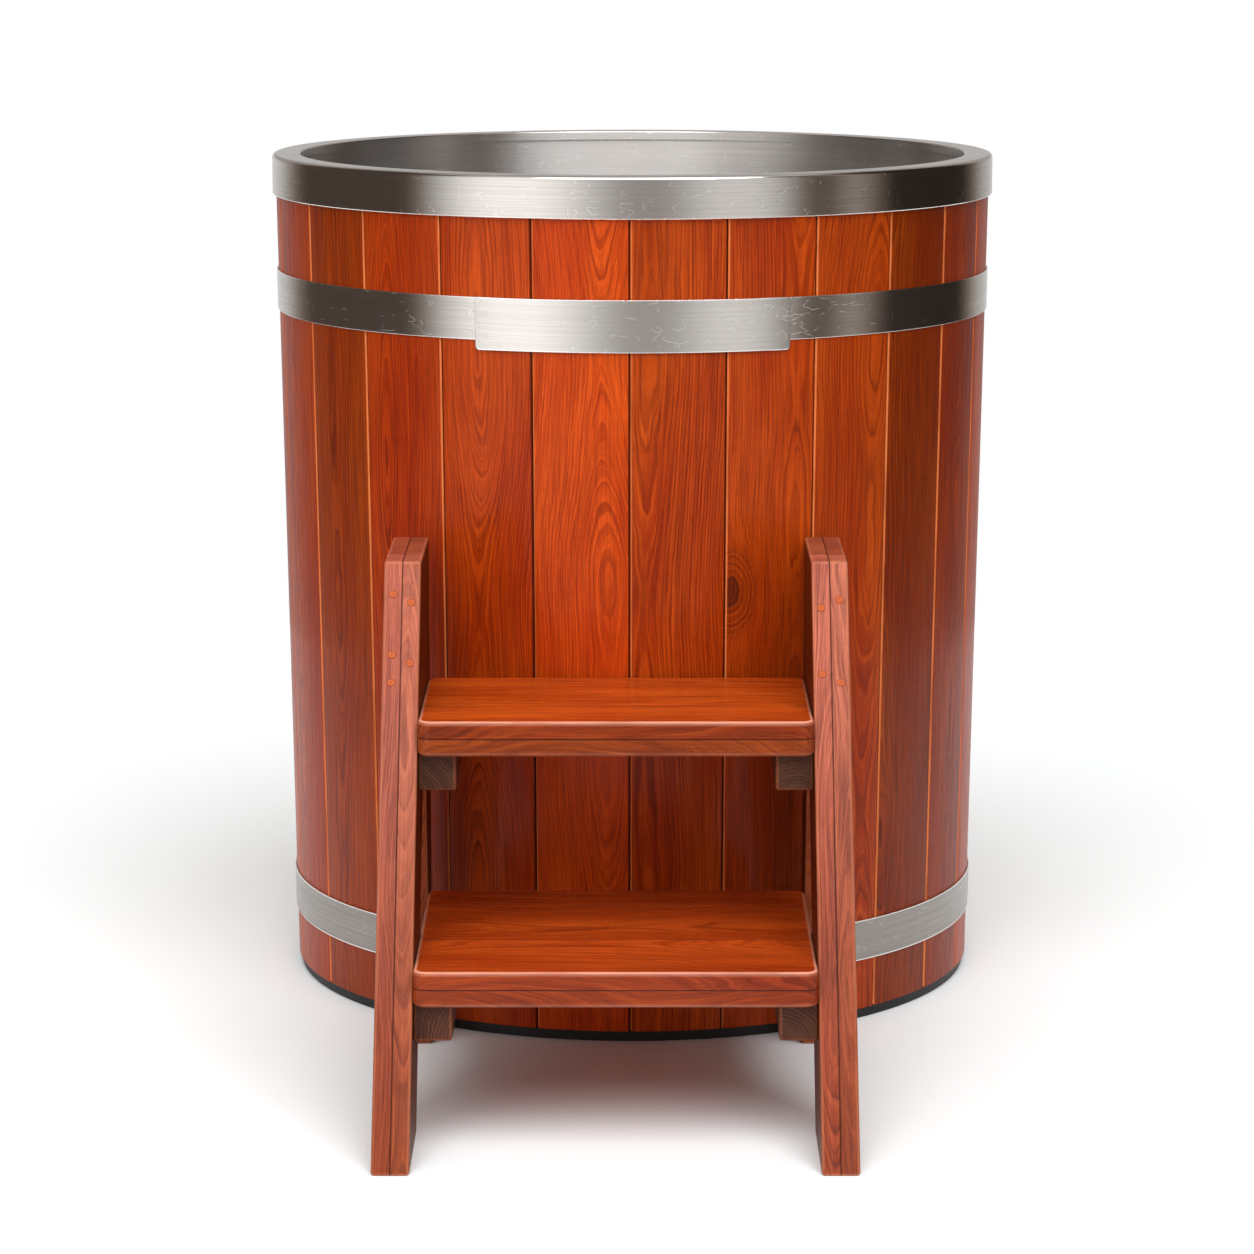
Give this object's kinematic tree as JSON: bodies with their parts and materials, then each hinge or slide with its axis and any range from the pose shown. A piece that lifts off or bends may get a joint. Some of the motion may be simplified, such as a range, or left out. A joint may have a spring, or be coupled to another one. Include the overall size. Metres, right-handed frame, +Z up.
{
  "type": "cold plunge tub",
  "caption": "Round coopered wooden cold plunge tub with a steel liner, rim and hoops, a drain valve at the back, and a free-standing two-step stool in front.",
  "frame": {"origin": "the tub's axis at floor level, on the underside of the base plate", "axes": "+Z up along the tub's axis; -Y towards the front, where the plate is and the stool stands; +X to the right as seen from the front"},
  "size_m": [0.9499, 1.6195, 1.09],
  "materials": {
    "stave_wood": "red-brown stain under gloss varnish",
    "stool_wood": "red-brown stain under satin varnish",
    "tread_wood": "red-brown stain under gloss varnish",
    "bearer_wood": "dark stain, end grain showing",
    "plug_wood": "cut flush",
    "floor_wood": "plain sawn",
    "foam": "closed-cell foam",
    "liner_steel": "satin",
    "rim_steel": "brushed, polished edge",
    "hoop_steel": "brushed",
    "plate_steel": "brushed",
    "fastener_steel": "bright",
    "drain_steel": "satin",
    "black_plastic": "matte",
    "seal_rubber": "matte",
    "valve_brass": "as cast and machined",
    "lever_red": "dipped coat"
  },
  "bodies": {
    "tub": {"base_plate": "black_plastic", "floor_joists": "floor_wood", "floor_board": "floor_wood", "floor_insulation": "foam", "wall_insulation": "foam", "liner": "liner_steel", "rim_ring": "rim_steel", "upper_hoop": "hoop_steel", "lower_hoop": "hoop_steel", "name_plate": "plate_steel", "hoop_bolts": "fastener_steel", "hoop_nuts": "fastener_steel", "drain_flange": "drain_steel", "drain_strainer": "drain_steel", "drain_locknut": "black_plastic", "drain_gasket": "seal_rubber", "drain_pipe": "black_plastic", "valve_body": "valve_brass", "hose_tail": "valve_brass", "stave_01": "stave_wood", "stave_02": "stave_wood", "stave_03": "stave_wood", "stave_04": "stave_wood", "stave_05": "stave_wood", "stave_06": "stave_wood", "stave_07": "stave_wood", "stave_08": "stave_wood", "stave_09": "stave_wood", "stave_10": "stave_wood", "stave_11": "stave_wood", "stave_12": "stave_wood", "stave_13": "stave_wood", "stave_14": "stave_wood", "stave_15": "stave_wood", "stave_16": "stave_wood", "stave_17": "stave_wood", "stave_18": "stave_wood", "stave_19": "stave_wood", "stave_20": "stave_wood", "stave_21": "stave_wood", "stave_22": "stave_wood", "stave_23": "stave_wood", "stave_24": "stave_wood", "stave_25": "stave_wood"},
    "lever": {"valve_ball": "fastener_steel", "valve_stem": "valve_brass", "valve_lever": "lever_red", "lever_nut": "fastener_steel"},
    "steps": {"left_leg": "stool_wood", "right_leg": "stool_wood", "left_post": "stool_wood", "right_post": "stool_wood", "upper_tread": "tread_wood", "lower_tread": "tread_wood", "upper_left_bearer": "bearer_wood", "upper_right_bearer": "bearer_wood", "lower_left_bearer": "bearer_wood", "lower_right_bearer": "bearer_wood", "leg_plugs": "plug_wood", "step_screws": "fastener_steel"}
  },
  "joints": [
    {"name": "valve_turn", "type": "hinge", "parent": "tub", "child": "lever", "pos_m": [0.06059, 0.52279, 0.03245], "axis": [0, 0, 1], "range_deg": [0, 90]},
    {"name": "steps_slide", "type": "slide", "parent": "tub", "child": "steps", "axis": [0, -1, 0], "range_m": [0, 0.5]}
  ]
}
